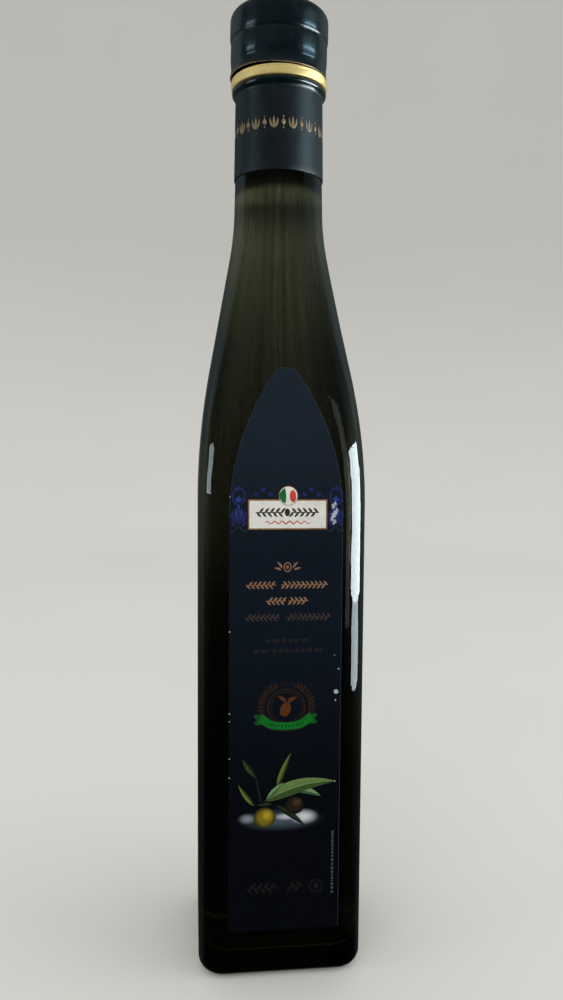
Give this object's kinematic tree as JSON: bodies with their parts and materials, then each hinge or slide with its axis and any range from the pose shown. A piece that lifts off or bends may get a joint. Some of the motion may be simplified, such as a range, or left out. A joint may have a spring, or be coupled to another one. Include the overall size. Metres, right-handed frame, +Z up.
{
  "type": "olive oil bottle",
  "caption": "Tall square dark-glass oil bottle, filled and closed, with a long-skirt screw cap and an arched paper label; stands on its base.",
  "frame": {"origin": "centre of the foot, on the surface that the bottle stands on", "axes": "+Z up along the bottle, the label faces -Y, +X is to the right when looking at the label"},
  "size_m": [0.055, 0.0552, 0.3205],
  "materials": {
    "dark_glass": "glossy dark olive-green glass",
    "oil": "clear green-gold liquid",
    "closure_blue": "satin midnight-blue lacquer on aluminium",
    "gold": "satin pale gold",
    "label_paper": "matt navy printed paper"
  },
  "bodies": {
    "root": {"bottle": "dark_glass", "oil": "oil", "skirt": "closure_blue", "gold_band": "gold", "cap": "closure_blue", "label": "label_paper"}
  },
  "joints": []
}
